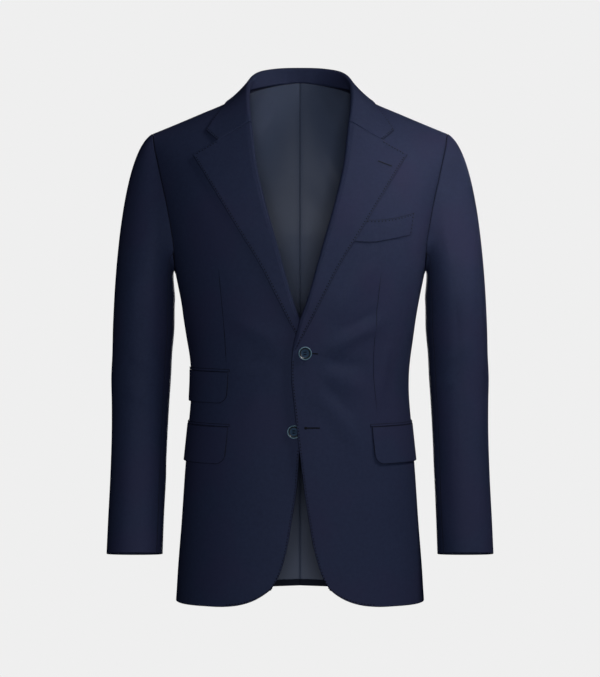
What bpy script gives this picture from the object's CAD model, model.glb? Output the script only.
"""The looks of a navy two-button suit jacket that hangs filled out in a plain studio, with nobody in it.

Each piece of cloth is a thin wall with rolled edges, built on the same torso form, seams and sleeve rings
as its solid, and creased by hand. Sewing is laid on the finished cloth. Lengths are in millimetres until a
mesh is made, and metres in the scene. +Z is up, the front faces -Y, the wearer's left is +X, and the origin
is the nape. A place on the body is a turn round it, 0 at the centre front, 1 at the side and 2 at the
centre back, and a level, which is the height, and above the chest follows the slope of the shoulders.
"""

import logging
import math
import sys
from dataclasses import dataclass, field
from enum import Enum
from typing import Any, Sequence

import bmesh
import bpy
import numpy as np
from mathutils import Matrix, Vector


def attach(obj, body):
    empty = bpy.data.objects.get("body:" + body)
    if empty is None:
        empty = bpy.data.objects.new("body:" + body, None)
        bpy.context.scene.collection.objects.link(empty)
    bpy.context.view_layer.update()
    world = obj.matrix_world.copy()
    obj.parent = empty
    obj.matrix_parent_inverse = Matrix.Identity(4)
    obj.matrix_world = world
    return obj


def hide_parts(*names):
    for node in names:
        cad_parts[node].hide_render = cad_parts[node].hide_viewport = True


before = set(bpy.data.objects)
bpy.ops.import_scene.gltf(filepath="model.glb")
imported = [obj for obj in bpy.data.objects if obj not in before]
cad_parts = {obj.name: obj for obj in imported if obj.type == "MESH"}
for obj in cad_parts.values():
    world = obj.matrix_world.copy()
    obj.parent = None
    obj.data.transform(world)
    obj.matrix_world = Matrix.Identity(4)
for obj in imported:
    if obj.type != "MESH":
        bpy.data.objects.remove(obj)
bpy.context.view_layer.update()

LOG = logging.getLogger("jacket")
MM = 0.001
QUARTER = math.pi / 2
WAVE_PERIOD = math.tau / 20.0

Points = np.ndarray
Pair = tuple[float, float]
Triple = tuple[float, float, float]
Table = tuple[tuple[float, ...], ...]
Socket = bpy.types.NodeSocket
Tree = bpy.types.NodeTree
Object = bpy.types.Object
Material = bpy.types.Material


class Side(Enum):
    """A half of the jacket, as the wearer has it. The value is the sign of x."""

    LEFT = 1
    RIGHT = -1

    @property
    def label(self) -> str:
        """The word that ends the names of this half's pieces."""
        return self.name.lower()

    def turned(self, points: Points) -> Points:
        """Points of the left half, put on this side."""
        return points * np.array([self.value, 1.0, 1.0])


class Slot(Enum):
    """A material slot of the record."""

    WOOL = "navy_worsted"
    LINING = "slate_lining"
    BUTTON = "navy_button"


class Held(Enum):
    """How a piece of cloth is held."""

    HUNG = "hung"
    FOLDED = "folded"
    LAID = "laid"


def hermite(start: Points, end: Points, leave: Points, arrive: Points, f: Points) -> Points:
    """The curve from start to end at the shares f, with the slopes by which it leaves and arrives."""
    near, far = (1 - f) ** 2, f**2
    return start * (1 + 2 * f) * near + end * far * (3 - 2 * f) + leave * f * near + arrive * far * (f - 1)


def smooth(knots: Any, at: Any) -> Points:
    """Reads a smooth curve through knots.

    Args:
        knots: Rows whose first number rises, and whose other numbers are the curve's values there.
        at: Where to read the curve, in the terms of the first number.

    Returns:
        The values at those places.
    """
    knots = np.asarray(knots, float)
    keys, values = knots[:, 0], knots[:, 1:]
    slopes = np.gradient(values, keys, axis=0)
    at = np.clip(np.asarray(at, float), keys[0], keys[-1])
    i = np.clip(np.searchsorted(keys, at) - 1, 0, len(keys) - 2)
    span = (keys[i + 1] - keys[i])[..., None]
    f = (at - keys[i])[..., None] / span
    return hermite(values[i], values[i + 1], slopes[i] * span, slopes[i + 1] * span, f)


def lengths_along(points: Points, axis: int = 0) -> Points:
    """How far each point of a line, or of a grid along an axis, lies from the start of its line."""
    steps = np.linalg.norm(np.diff(points, axis=axis), axis=-1)
    return np.concatenate([0 * np.take(steps, [0], axis), np.cumsum(steps, axis)], axis)


def along(points: Any) -> Points:
    """The points of a line, each after the share of the line's length at which it lies."""
    lengths = lengths_along(np.asarray(points, float))
    return np.column_stack([lengths / lengths[-1], points])


def read(at: Any, keys: Points, rows: Points) -> Points:
    """Rows at other places than their own keys, by straight steps from one to the next."""
    return np.column_stack([np.interp(at, keys, column) for column in rows.T])


def ease(value: Any, low: float, high: float) -> Points:
    """A smooth step from 0 at the low value to 1 at the high one."""
    share = np.clip((np.asarray(value, float) - low) / (high - low), 0, 1)
    return share * share * (3 - 2 * share)


def rounded(share: Any, power: Any) -> Points:
    """The other side of a rounded quarter: 1 where share is 0, and 0 where it is 1."""
    return np.maximum(1 - np.clip(np.abs(share), 0, 1) ** power, 0) ** (1 / power)


def unit(vectors: Points) -> Points:
    """The vectors with a length of 1."""
    return vectors / np.maximum(np.linalg.norm(vectors, axis=-1, keepdims=True), 1e-12)


def whole(half: Points) -> Points:
    """A line on the left half that ends at the centre, gone on with to the right half's end."""
    return np.vstack([half, Side.RIGHT.turned(half[-2::-1])])


def spaced(count: int, spread: float = 1.0) -> Points:
    """Shares from 0 to 1, closer together at the start where the spread is more than 1."""
    return np.linspace(0, 1, count) ** spread


def even(line: Any, count: int) -> Points:
    """So many points at even steps along a smooth curve through the points of a line."""
    return smooth(along(line), spaced(count))


def patch(bottom: Points, top: Points, inner: Points, outer: Points, spread: float = 1.0) -> Points:
    """Fills the space between four border lines.

    Args:
        bottom: The lowest row, which runs outwards.
        top: The highest row, which runs outwards.
        inner: The first column, which runs upwards.
        outer: The last column, which runs upwards.
        spread: How much closer the columns lie near the inner border.

    Returns:
        A grid of places.
    """
    u = spaced(len(bottom), spread)[None, :, None]
    v = spaced(len(inner))[:, None, None]
    sides = inner[:, None] * (1 - u) + outer[:, None] * u
    ends = bottom[None] * (1 - v) + top[None] * v
    corners = (bottom[0] * (1 - u) + bottom[-1] * u) * (1 - v) + (top[0] * (1 - u) + top[-1] * u) * v
    return sides + ends - corners


def finer_edges(grid: Points, near: Sequence[float], closest: float = 0.12) -> Points:
    """Adds rows to a grid close to its first and its last row.

    Args:
        grid: A grid of longer rows of numbers whose first three are a point.
        near: How far from the border the new rows lie.
        closest: The least distance between two rows.

    Returns:
        The finer grid.
    """
    at = lengths_along(grid[..., :3]).mean(axis=1)
    kept = [0.0]
    for place in np.sort(np.concatenate([at[1:-1], near, at[-1] - np.asarray(near)])):
        if kept[-1] + closest < place < at[-1] - closest:
            kept.append(place)
    kept = np.array(kept + [at[-1]])
    i = np.clip(np.searchsorted(at, kept, side="right") - 1, 0, len(at) - 2)
    f = ((kept - at[i]) / (at[i + 1] - at[i]))[:, None, None]
    return grid[i] * (1 - f) + grid[i + 1] * f


def grid_normals(grid: Points) -> Points:
    """The vectors that point out of a grid of points, by the right hand from its rows to its columns."""
    return unit(np.cross(np.gradient(grid, axis=1), np.gradient(grid, axis=0)))


def face_areas(grid: Points) -> Points:
    """Twice the area of each face of a grid, as a vector that points out of it."""
    return np.cross(grid[1:, 1:] - grid[:-1, :-1], grid[1:, :-1] - grid[:-1, 1:])


def quads(numbers: Points) -> Points:
    """The numbers at the four corners of each face of a grid."""
    near, far = numbers[:-1], numbers[1:]
    return np.stack([near[:, :-1], near[:, 1:], far[:, 1:], far[:, :-1]], axis=-1).reshape(-1, 4)


def closed_tube(rings: Points, ends: Points) -> tuple[Points, list[Any]]:
    """Closes a stack of rings with a point at each end.

    Args:
        rings: The points of each ring.
        ends: The point before the first ring and the one after the last.

    Returns:
        The points, and the numbers of each face's corners.
    """
    count = rings.shape[0] * rings.shape[1]
    numbers = np.arange(count).reshape(rings.shape[:2])
    numbers = np.hstack([numbers, numbers[:, :1]])
    first = [(count, b, a) for a, b in zip(numbers[0], numbers[0, 1:])]
    last = [(count + 1, a, b) for a, b in zip(numbers[-1], numbers[-1, 1:])]
    return np.vstack([rings.reshape(-1, 3), ends]), first + last + quads(numbers).tolist()


def new_object(name: str, points: Points, faces: Sequence[Any]) -> Object:
    """Makes a smooth-shaded object in the scene.

    Args:
        name: The piece's name.
        points: Its corners, in millimetres.
        faces: The numbers of the corners of each face.

    Returns:
        The object.
    """
    mesh = bpy.data.meshes.new(name)
    mesh.from_pydata((points * MM).tolist(), [], faces)
    mesh.shade_smooth()
    return in_scene(name, mesh)


def in_scene(name: str, data: bpy.types.ID | None) -> Object:
    """Puts a new object into the scene.

    Args:
        name: Its name.
        data: Its mesh, light or camera.

    Returns:
        The object.
    """
    obj = bpy.data.objects.new(name, data)
    bpy.context.scene.collection.objects.link(obj)
    return obj


def add_map(obj: Object, name: str, values: Points) -> None:
    """Gives a mesh a map.

    Args:
        obj: The piece.
        name: The map's name.
        values: Two numbers for each point of the mesh.
    """
    corners = np.zeros(len(obj.data.loops), int)
    obj.data.loops.foreach_get("vertex_index", corners)
    obj.data.uv_layers.new(name=name).data.foreach_set("uv", values[corners].ravel())


class Border(Enum):
    """A border of a grid, as the axis that leads away from it and the place on that axis."""

    FIRST_ROW = (0, 0)
    LAST_ROW = (0, -1)
    FIRST_COLUMN = (1, 0)
    LAST_COLUMN = (1, -1)

    def distances(self, grid: Points) -> Points:
        """How far each point of a grid lies from this border, measured along the grid."""
        lengths = lengths_along(grid, self.value[0])
        return np.abs(np.take(lengths, [self.value[1]], self.value[0]) - lengths)


@dataclass
class Cloth:
    """A thin wall of cloth round a middle surface, with edges that are rolled and pressed.

    Attributes:
        outward: A vector for each point that says roughly which face is the outer one.
        roll: How far from its rim the cloth starts to thin to a rounded edge.
        channels: Borders along which the pick stitches draw the cloth in.
        pressed: The borders that look darker.
        facing: A border, and how far from it the inside turns to lining.
        near: How far inside a border extra rows lie, and near_channel to each side of a channel.
    """

    middle: Points
    outward: Points
    thickness: float
    roll: float = 1.2
    channels: tuple[Border, ...] = ()
    pressed: tuple[Border, ...] = tuple(Border)
    facing: tuple[Border, float] | None = None
    channel_inside: float = 2.9
    channel_depth: float = 0.12
    near: tuple[float, ...] = (0.2, 0.5, 0.9, 1.5, 2.4)
    near_channel: tuple[float, ...] = (-1.6, -0.8, 0.0, 0.8, 1.6)
    outer: Points = field(init=False)
    inner: Points = field(init=False)

    def __post_init__(self) -> None:
        """Works out the two faces of the wall."""
        normal = grid_normals(self.middle)
        normal *= np.sign(np.sum(normal * self.outward))
        beside = [self.channel_inside + step for step in self.near_channel if self.channels]
        near = [*self.near, *beside]
        both = finer_edges(np.concatenate([self.middle, normal], axis=-1), near)
        both = np.swapaxes(finer_edges(np.swapaxes(both, 0, 1), near), 0, 1)
        self.middle, normal = both[..., :3], unit(both[..., 3:])
        half = self.thickness / 2 * rounded(1 - np.clip(self.from_rim(Border) / self.roll, 0, 1), 2.0)
        off = [border.distances(self.middle) - self.channel_inside for border in self.channels]
        sunk = np.maximum.reduce([0 * half, *(self.channel_depth * np.exp(-(far**2)) for far in off)])
        self.outer = self.middle + normal * (half - sunk)[..., None]
        self.inner = self.middle - normal * half[..., None]

    def from_rim(self, borders: Any) -> Points:
        """How far each point lies from the nearest of some borders."""
        return np.minimum.reduce([border.distances(self.middle) for border in borders])

    def rows(self) -> Points:
        """The points of the outer face, each with the vector that points out of the cloth there."""
        return np.concatenate([self.outer, unit(self.outer - self.inner + 1e-9)], axis=-1)

    def flat_cut(self) -> tuple[Pair, float]:
        """Measures the cloth as if it were laid flat.

        Returns:
            Its width and length in metres, and its area in square metres.
        """
        across, up = (lengths_along(self.middle, axis).max() for axis in (1, 0))
        area = np.linalg.norm(face_areas(self.middle), axis=-1).sum() / 2
        return (across * MM, up * MM), area * MM * MM

    def build(self, name: str) -> Object:
        """Makes the closed wall, with a map in metres for its weave and one for its rim.

        Args:
            name: The piece's name.

        Returns:
            The object.
        """
        rows, columns = self.outer.shape[:2]
        upper = np.arange(rows * columns).reshape(rows, columns)
        lower = upper.copy()
        lower[1:-1, 1:-1] = upper.size + np.arange((rows - 2) * (columns - 2)).reshape(rows - 2, -1)
        outside, inside = quads(upper), quads(lower)[:, [0, 3, 2, 1]]
        if np.sum(face_areas(self.outer) * (self.outer - self.inner)[:-1, :-1]) < 0:
            outside, inside = outside[:, ::-1], inside[:, ::-1]
        points = np.vstack([self.outer.reshape(-1, 3), self.inner[1:-1, 1:-1].reshape(-1, 3)])
        obj = new_object(name, points, np.vstack([outside, inside]).tolist())
        weave = [lengths_along(self.middle, 1), lengths_along(self.middle, 0)]
        rim = self.from_rim(self.pressed)
        for title, values in (("weave", weave), ("rim", [rim, 0 * rim])):
            flat = np.stack(values, -1) * MM
            add_map(obj, title, np.vstack([flat.reshape(-1, 2), flat[1:-1, 1:-1].reshape(-1, 2)]))
        if self.facing:
            lined = self.facing[0].distances(self.middle)[:-1, :-1].ravel() > self.facing[1]
            obj.data.polygons.foreach_set("material_index", np.concatenate([0 * lined, 1 * lined]))
        return obj

    def line_inside(self, border: Border, inside: float) -> Points:
        """Finds a line on the outer face that runs beside a border.

        Args:
            border: The border.
            inside: How far from it the line lies.

        Returns:
            Rows of a point and the way out of the cloth.
        """
        axis, end = border.value
        distance, rows = (np.moveaxis(grid, axis, 1) for grid in (border.distances(self.middle), self.rows()))
        if end:
            distance, rows = distance[:, ::-1], rows[:, ::-1]
        return np.vstack([read(inside, far, row) for far, row in zip(distance, rows)])


@dataclass(frozen=True)
class Crease:
    """A soft crease in cloth: a rounded ridge, or a valley where its depth is below 0.

    Attributes:
        across: Where it starts, across the cloth, and so on up it and for where it dies away.
        depth: How far it stands out at its strongest.
        width: How wide it is to each side.
        fade: The share of its length at which it starts to die away.
        swell: The shares of its length between which it rises.
        gone: The share at which it is gone.
    """

    across: float
    up: float
    end_across: float
    end_up: float
    depth: float
    width: float
    fade: float
    swell: Pair = (-0.12, 0.2)
    gone: float = 1.05

    def height(self, across: Points, up: Points) -> Points:
        """How far points that lie so far across and up the cloth are moved out.

        Args:
            across: How far across the cloth each point lies.
            up: How high each point lies.

        Returns:
            A height for each point.
        """
        run, climb = self.end_across - self.across, self.end_up - self.up
        across, up = across - self.across, up - self.up
        share = (across * run + up * climb) / (run * run + climb * climb)
        held = np.clip(share, 0, 1)
        off = np.hypot(across - run * held, up - climb * held)
        taper = ease(share, *self.swell) * (1 - ease(share, self.fade, self.gone))
        return self.depth * taper * np.exp(-((off / self.width) ** 2))


def relief(creases: Table, across: Points, up: Points, turns: Sequence[Any] = (0.0,)) -> Points:
    """How far creases move points out in all, each also read at some shifts round the cloth."""
    return sum((Crease(*row).height(across + turn, up) for row in creases for turn in turns), 0 * across)


@dataclass(frozen=True)
class TorsoForm:
    """The form that the body of the jacket keeps, as a shell in terms of places.

    Attributes:
        creases: Creases, in millimetres round the body from the centre front and in levels.
        sections: Level, half width, front y, back y and widest y of each section.
        shoulder: Distance from the centre and height of the shoulder seam, seen from the front.
        overlap_reach: Where the lift of the overlap dies away to the side, and so on at its top and foot.
        quarter: The length of a quarter turn in the terms of the creases.
        steps: The steps by which slopes are measured.
    """

    creases: Table
    sections: Table = (
        (-800, 187.5, -208, 43, -80), (-771, 185.1, -207, 43, -80), (-735, 182.9, -206, 43, -80),
        (-663, 177.3, -203, 40, -80), (-591, 172.4, -200, 33, -81), (-519, 166.8, -197, 21, -82),
        (-465, 162.8, -195, 12, -82), (-411, 165, -196, 10, -81), (-339, 176.7, -201, 20, -78),
        (-303, 184, -203, 27, -76), (-270, 191, -204, 32, -74), (-230, 200, -204, 36, -72),
        (-170, 214, -203, 37, -69), (-100, 227, -200, 36, -67), (0, 240, -196, 34, -66),
    )
    shoulder: Table = (
        (0, 24), (40, 6), (76, -14), (108.8, -33), (148.8, -50.3), (191.4, -68.2), (222.5, -80.7),
        (250, -90.8),
    )
    chest: float = -230.0
    neck_point: float = 80.0
    neck_rise: float = 88.0
    front_roundness: float = 2.35
    back_roundness: float = 2.7
    front_slope: float = 1.6
    back_slope: float = 1.7
    overlap_lift: float = 8.0
    overlap_reach: Pair = (8.0, 105.0)
    overlap_top: Pair = (-345.0, -225.0)
    overlap_low: Pair = (-770.0, -560.0)
    quarter: float = 250.0
    steps: Table = ((0.004, 0.0), (0.0, 1.5))
    near_seam: Pair = (-8.0, 0.0)
    below_seam: float = -2.0
    least_slope: float = 0.4
    below_top: float = 3.0

    def lift(self, side: Side) -> float:
        """How far a front is lifted where it laps over the other one."""
        return self.overlap_lift if side is Side.LEFT else 0.0

    def top(self, x: Points, back: Any) -> Points:
        """The height of the shell's upper edge at a distance from the centre, in front or behind."""
        neck = self.neck_rise * np.maximum(0, 1 - (x / self.neck_point) ** 2) ** 2
        return smooth(self.shoulder, np.abs(x))[..., 0] + np.where(back, neck, 0.0)

    def widest(self, level: Points) -> Points:
        """Where the shell is widest at a level, as the value of y."""
        return smooth(self.sections, level)[..., 3]

    def turn_of(self, x: Any, level: Any, back: Any = False) -> Points:
        """The turn round the body of a point at the distance x from the centre."""
        turn = np.arcsin(np.clip(x / smooth(self.sections, level)[..., 0], -1, 1)) / QUARTER
        return np.where(back, 2 - turn, turn)

    def place(self, x: Any, z: Any, back: Any = False) -> Points:
        """Finds the places of the shell that are seen from the front or the back.

        Args:
            x: Distances from the centre.
            z: Heights.
            back: Whether they are seen from the back.

        Returns:
            A turn and a level for each.
        """
        x, z = np.broadcast_arrays(np.asarray(x, float), np.asarray(z, float))
        rise = np.clip((z - self.chest) / (self.top(x, back) - self.chest), 0, 1)
        level = np.where(z < self.chest, z, self.chest * (1 - np.arcsin(rise) / QUARTER))
        return np.stack([self.turn_of(x, level, back), level], axis=-1)

    def ring(self, places: Points, lift: float = 0.0) -> Points:
        """Finds the points of the shell at places.

        Args:
            places: A turn and a level for each.
            lift: How far the overlap is lifted.

        Returns:
            The points.
        """
        turn, level = places[..., 0], places[..., 1]
        back = turn > 1
        half_width, front, rear, widest = np.moveaxis(smooth(self.sections, level), -1, 0)
        x = half_width * np.sin(np.where(back, 2 - turn, turn) * QUARTER)
        rise = np.sin(np.clip((level - self.chest) / -self.chest, 0, 1) * QUARTER)
        z = np.where(level < self.chest, level, self.chest + (self.top(x, back) - self.chest) * rise)
        roundness = np.where(back, self.back_roundness, self.front_roundness)
        depth = rounded(rise, np.where(back, self.back_slope, self.front_slope))
        y = widest + (np.where(back, rear, front) - widest) * depth * rounded(x / half_width, roundness)
        across = 1 - ease(x, *self.overlap_reach)
        share = across * (1 - ease(z, *self.overlap_top)) * ease(z, *self.overlap_low)
        return np.stack([x, y - lift * share, z], axis=-1)

    def outward(self, places: Points, lift: float = 0.0) -> Points:
        """Finds the vectors that point out of the shell, the same on both sides of the shoulder seam.

        Args:
            places: A turn and a level for each.
            lift: How far the overlap is lifted.

        Returns:
            The vectors.
        """
        below = np.minimum(places, [np.inf, self.below_seam])
        steps, normals = np.array(self.steps), []
        for at in (below, [2.0, 0.0] + below * [-1.0, 1.0]):
            across, up = (self.ring(at + step, lift) - self.ring(at - step, lift) for step in steps)
            normals.append(unit(np.cross(across, up)))
        return unit(normals[0] + normals[1] * ease(places[..., 1], *self.near_seam)[..., None])

    def laid(self, places: Points, height: Any, lift: float = 0.0) -> Points:
        """Points at a height above the shell."""
        return self.ring(places, lift) + self.outward(places, lift) * np.asarray(height, float)[..., None]

    def on_front(self, x: Any, z: Any, height: Any, lift: float = 0.0) -> Points:
        """Finds points by where they are seen from the front.

        Args:
            x: Distances from the centre.
            z: Heights.
            height: How far outside the shell the points lie.
            lift: How far the overlap is lifted.

        Returns:
            The points.
        """
        places = self.place(x, z)
        points = self.ring(places, lift)
        points[..., 1] -= height / np.maximum(-self.outward(places, lift)[..., 1], self.least_slope)
        return points

    def rested(self, points: Points, height: Any, lift: float) -> Points:
        """Moves points forwards or backwards where they lie too close to the shell.

        Args:
            points: The points.
            height: The least height of each outside the shell.
            lift: How far the overlap is lifted.

        Returns:
            The points, clear of the shell.
        """
        x, y, z = np.moveaxis(points, -1, 0)
        beside = z < self.top(x, False) - self.below_top
        for back, way in ((False, -1), (True, 1)):
            places = self.place(x, z, back)
            slope = np.maximum(way * self.outward(places, lift)[..., 1], self.least_slope)
            least = way * self.ring(places, lift)[..., 1] + height / slope
            here = beside & (way * (y - self.widest(places[..., 1])) > 0)
            y = np.where(here, way * np.maximum(way * y, least), y)
        return np.stack([x, y, z], axis=-1)

    def creased(self, points: Points) -> Points:
        """Moves points in and out with the creases of the body.

        Args:
            points: Points of either half of the jacket.

        Returns:
            The moved points.
        """
        x, z = np.abs(points[..., 0]), points[..., 2]
        hand = np.where(points[..., 0] < 0, -1.0, 1.0)
        places = self.place(x, z, points[..., 1] > self.widest(self.place(x, z)[..., 1]))
        around = hand * self.quarter
        amount = relief(self.creases, around * places[..., 0], places[..., 1], (0.0, -4 * around))
        normal = self.outward(places) * np.stack([hand, abs(hand), abs(hand)], -1)
        return points + normal * amount[..., None]

    def paced(self, line: Any) -> Points:
        """A line of places, each after the share of the line's length in millimetres."""
        return np.column_stack([along(np.asarray(line, float) * [self.quarter, 1.0])[:, 0], line])

    def sample(self, line: Any, count: int, spread: float = 1.0) -> Points:
        """Places along a line of places by their distance on the shell, closer at its start by the spread."""
        dense = smooth(self.paced(line), spaced(40 * len(line)))
        return read(spaced(count, spread), along(self.ring(dense))[:, 0], dense)


@dataclass(frozen=True)
class Pattern:
    """The seams and edges that cut the torso form into panels, most as distances and heights.

    Attributes:
        armhole_under: Turn and level of the armhole under the arm.
        back_seam_turns: Level and turn of the seam between a side panel and a back.
        roll_neck: The points of the collar's roll line.
        front_edge: Height, and distance from the centre of the left and the right front edge.
    """

    form: TorsoForm
    armpit_level: float = -287.0
    hem_side: float = -779.0
    hem_back: float = -768.0
    hem_back_seam: float = -774.0
    shoulder_point: float = 221.5
    nape_level: float = -122.0
    fold_margin: float = 4.7
    fold_rise: float = 40.0
    neck_margin: float = 10.2
    armhole_front: Table = ((217, -105), (208.5, -142), (195.4, -202), (187.2, -258.5))
    armhole_under: Table = ((0.905, -279), (1, -287), (1.107, -277), (1.207, -250))
    armhole_back: Table = ((189.6, -215), (200, -172), (213.9, -122))
    back_seam_turns: Table = (
        (-800, 1.42), (-660, 1.44), (-465, 1.5), (-360, 1.43), (-300, 1.31), (-250, 1.207),
    )
    roll_chest: Table = (
        (-11.2, -405.5), (-10, -398), (-5.6, -381), (-1.5, -364.5), (10.2, -332),
        (22.7, -288), (33.6, -249), (50.3, -190), (63.4, -133), (71.2, -69),
    )
    roll_neck: Table = (
        (74.8, -116.5, -42), (76, -91, -17.5), (73.8, -58, 2), (63, -28, 16), (36, -9, 22.8), (0, -3.5, 24.5),
    )
    front_edge: Table = (
        (-409.5, -11.3, -11.3), (-426, -12.7, -17), (-449, -12.4, -18.5), (-476, -9.7, -15), (-501, -7, -11),
        (-532, -3.5, -5), (-553, -0.9, 0.6), (-575, 1.9, 2.2), (-611, 6.3, 5.2), (-655, 13, 12),
        (-702, 22, 20.6), (-736, 33, 31.5), (-754, 43, 42),
    )
    hem_curve: Table = (
        (43, -754), (54, -762.8), (66, -769.8), (78, -774.6), (92, -778.2), (110, -780.4), (142, -780.9),
        (169, -780.7),
    )
    spread: float = 1.4
    seam_rows: int = 96
    front_hole_rows: int = 52
    back_hole_rows: int = 46
    front_columns: int = 84
    back_columns: int = 52
    side_columns: int = 26
    chest_rows: int = 70
    neck_rows: int = 20
    armhole_steps: int = 399

    def armhole_parts(self) -> tuple[Points, Points, Points]:
        """Cuts the armhole at the two side seams.

        Returns:
            Its places on the front, on the side panel and on the back.
        """
        front = self.form.place(*np.transpose(self.armhole_front))
        rear = self.form.place(*np.transpose(self.armhole_back), back=True)
        top = float(self.form.turn_of(self.shoulder_point, 0.0))
        line = self.form.paced(np.vstack([[(top, 0.0)], front, self.armhole_under, rear, [(2 - top, 0.0)]]))
        dense = smooth(line, spaced(self.armhole_steps + 1))
        under = len(front) + 2
        first, last = (int(round(line[i, 0] * self.armhole_steps)) for i in (under, under + 2))
        return dense[: first + 1], dense[first : last + 1], dense[last:]

    def neck_line(self) -> tuple[Points, Points]:
        """Finds the neck edge of the panels.

        Returns:
            Its places from the nape to the neck point, and from there to the gorge.
        """
        form = self.form
        x = form.neck_point * np.sin(spaced(9) * QUARTER)
        rear = form.place(x, form.top(form.neck_point, False) * (x / form.neck_point) ** 2, back=True)
        point = np.array([form.turn_of(form.neck_point, 0.0), 0.0])
        middle = form.place(self.roll_neck[0][0] + self.neck_margin, self.roll_neck[0][2])
        gorge = form.place(self.roll_chest[-1][0] + self.fold_margin, self.roll_chest[-1][1])
        return rear, np.array([point, middle, gorge])

    def side_seam(self) -> Points:
        """The seam between a front and a side panel, from the hem to the armhole."""
        levels = np.linspace(self.hem_side, self.armpit_level, 20)
        return self.form.sample(np.column_stack([np.ones(20), levels]), self.seam_rows)

    def back_seam(self) -> Points:
        """The seam between a side panel and a back, from the hem to the armhole."""
        levels = np.linspace(self.hem_back_seam, self.back_seam_turns[-1][0], 20)
        return self.form.sample(np.c_[smooth(self.back_seam_turns, levels), levels], self.seam_rows)

    def shoulder_seam(self, count: int, spread: float = 1.0) -> Points:
        """The shoulder seam from the neck point to the shoulder point, on the front."""
        reach = np.linspace(self.form.neck_point, self.shoulder_point, 6)
        return self.form.sample(np.column_stack([self.form.turn_of(reach, 0.0), 0 * reach]), count, spread)

    def front(self, side: Side) -> Points:
        """Finds the places of a front.

        Args:
            side: Which front.

        Returns:
            A grid of places from the front edge to the side seam, hem to shoulder.
        """
        form = self.form
        rows = self.seam_rows + self.front_hole_rows - 1
        height, left, right = np.transpose(self.front_edge)
        edge = form.place(left if side is Side.LEFT else right, height)[::-1]
        hem_curve = form.place(*np.transpose(self.hem_curve))
        hem_curve[0] = edge[0]
        hem = form.sample(np.vstack([hem_curve, [(1.0, self.hem_side)]]), self.front_columns, self.spread)
        below = form.sample(edge, rows - self.chest_rows - self.neck_rows + 1, self.spread)
        x, z = np.transpose(self.roll_chest)
        fold = form.place(x + self.fold_margin * ease(z, z[0], z[0] + self.fold_rise), z)
        neck = form.sample(self.neck_line()[1][::-1], self.neck_rows)
        inner = np.vstack([below, form.sample(fold, self.chest_rows)[:-1], neck])
        hole = form.sample(self.armhole_parts()[0][::-1], self.front_hole_rows)
        outer = np.vstack([self.side_seam()[:-1], hole])
        return patch(hem, self.shoulder_seam(self.front_columns, self.spread), inner, outer, self.spread)

    def back(self) -> Points:
        """Finds the places of a back.

        Returns:
            A grid of places from the centre seam to the back side seam, hem to shoulder.
        """
        form = self.form
        rows = self.seam_rows + self.back_hole_rows - 1
        centre = form.sample([(2.0, z) for z in np.linspace(self.hem_back, self.nape_level, 20)], rows)
        hem = form.sample([(2.0, self.hem_back), self.hem_corner()], self.back_columns)
        outer = np.vstack([self.back_seam()[:-1], form.sample(self.armhole_parts()[2], self.back_hole_rows)])
        shoulder = [2.0, 0.0] + self.shoulder_seam(self.back_columns - self.neck_rows) * [-1.0, 1.0]
        top = np.vstack([form.sample(self.neck_line()[0], self.neck_rows + 1)[:-1], shoulder])
        return patch(hem, top, centre, outer)

    def hem_corner(self) -> Pair:
        """The place where the seam between a side panel and a back meets the hem."""
        return self.back_seam_turns[0][1], self.hem_back_seam

    def side(self) -> Points:
        """Finds the places of a side panel.

        Returns:
            A grid of places between the two side seams, hem to armhole.
        """
        hem, hole = [(1.0, self.hem_side), self.hem_corner()], self.armhole_parts()[1]
        hem, hole = (self.form.sample(line, self.side_columns) for line in (hem, hole))
        return patch(hem, hole, self.side_seam(), self.back_seam())


def linear(colour: str) -> tuple[float, ...]:
    """The linear red, green, blue and alpha of an sRGB hex colour."""
    shares = [int(colour[i : i + 2], 16) / 255 for i in (1, 3, 5)]
    return (*(c / 12.92 if c <= 0.04045 else ((c + 0.055) / 1.055) ** 2.4 for c in shares), 1.0)


def add(tree: Tree, kind: str, inputs: dict[Any, Any], output: Any = 0) -> Socket | None:
    """Adds a node to a tree.

    Args:
        tree: The tree.
        kind: The node's type, without the word that all types start with.
        inputs: Its properties by name, and its inputs' values or sources by name or number.
        output: The output that is wanted.

    Returns:
        That output, if the node has any.
    """
    node = tree.nodes.new(f"ShaderNode{kind}")
    for key, value in inputs.items():
        if isinstance(value, Socket):
            tree.links.new(value, node.inputs[key])
        elif isinstance(key, int) or key in node.inputs:
            node.inputs[key].default_value = value
        else:
            setattr(node, key, value)
    return node.outputs[output] if node.outputs else None


@dataclass(frozen=True)
class Finish:
    """A material of one Principled surface."""

    name: str

    def surface(self, tree: Tree) -> dict[str, Any]:
        """The inputs of its shader, with the nodes that feed them added to the tree."""
        return {}

    def build(self) -> Material:
        """Makes the material.

        Returns:
            The material.
        """
        made = bpy.data.materials.new(self.name)
        made.use_nodes = True
        made.node_tree.nodes.clear()
        shader = add(made.node_tree, "BsdfPrincipled", self.surface(made.node_tree))
        add(made.node_tree, "OutputMaterial", {"Surface": shader})
        return made


@dataclass(frozen=True)
class Woven(Finish):
    """A woven cloth, with edges and seams that are pressed and look darker."""

    edge: str
    edge_width: Pair

    def pressed(self, tree: Tree, colour: Socket) -> Socket:
        """Darkens a colour towards the pressed edges.

        Args:
            tree: The tree.
            colour: The colour of the cloth.

        Returns:
            The colour with its edges.
        """
        rim = add(tree, "SeparateXYZ", {0: add(tree, "UVMap", {"uv_map": "rim"})})
        low, high = (width * MM for width in self.edge_width)
        inside = add(tree, "MapRange", {"Value": rim, "From Min": low, "From Max": high})
        return add(tree, "Mix", {"data_type": "RGBA", 0: inside, 6: linear(self.edge), 7: colour}, 2)


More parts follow.
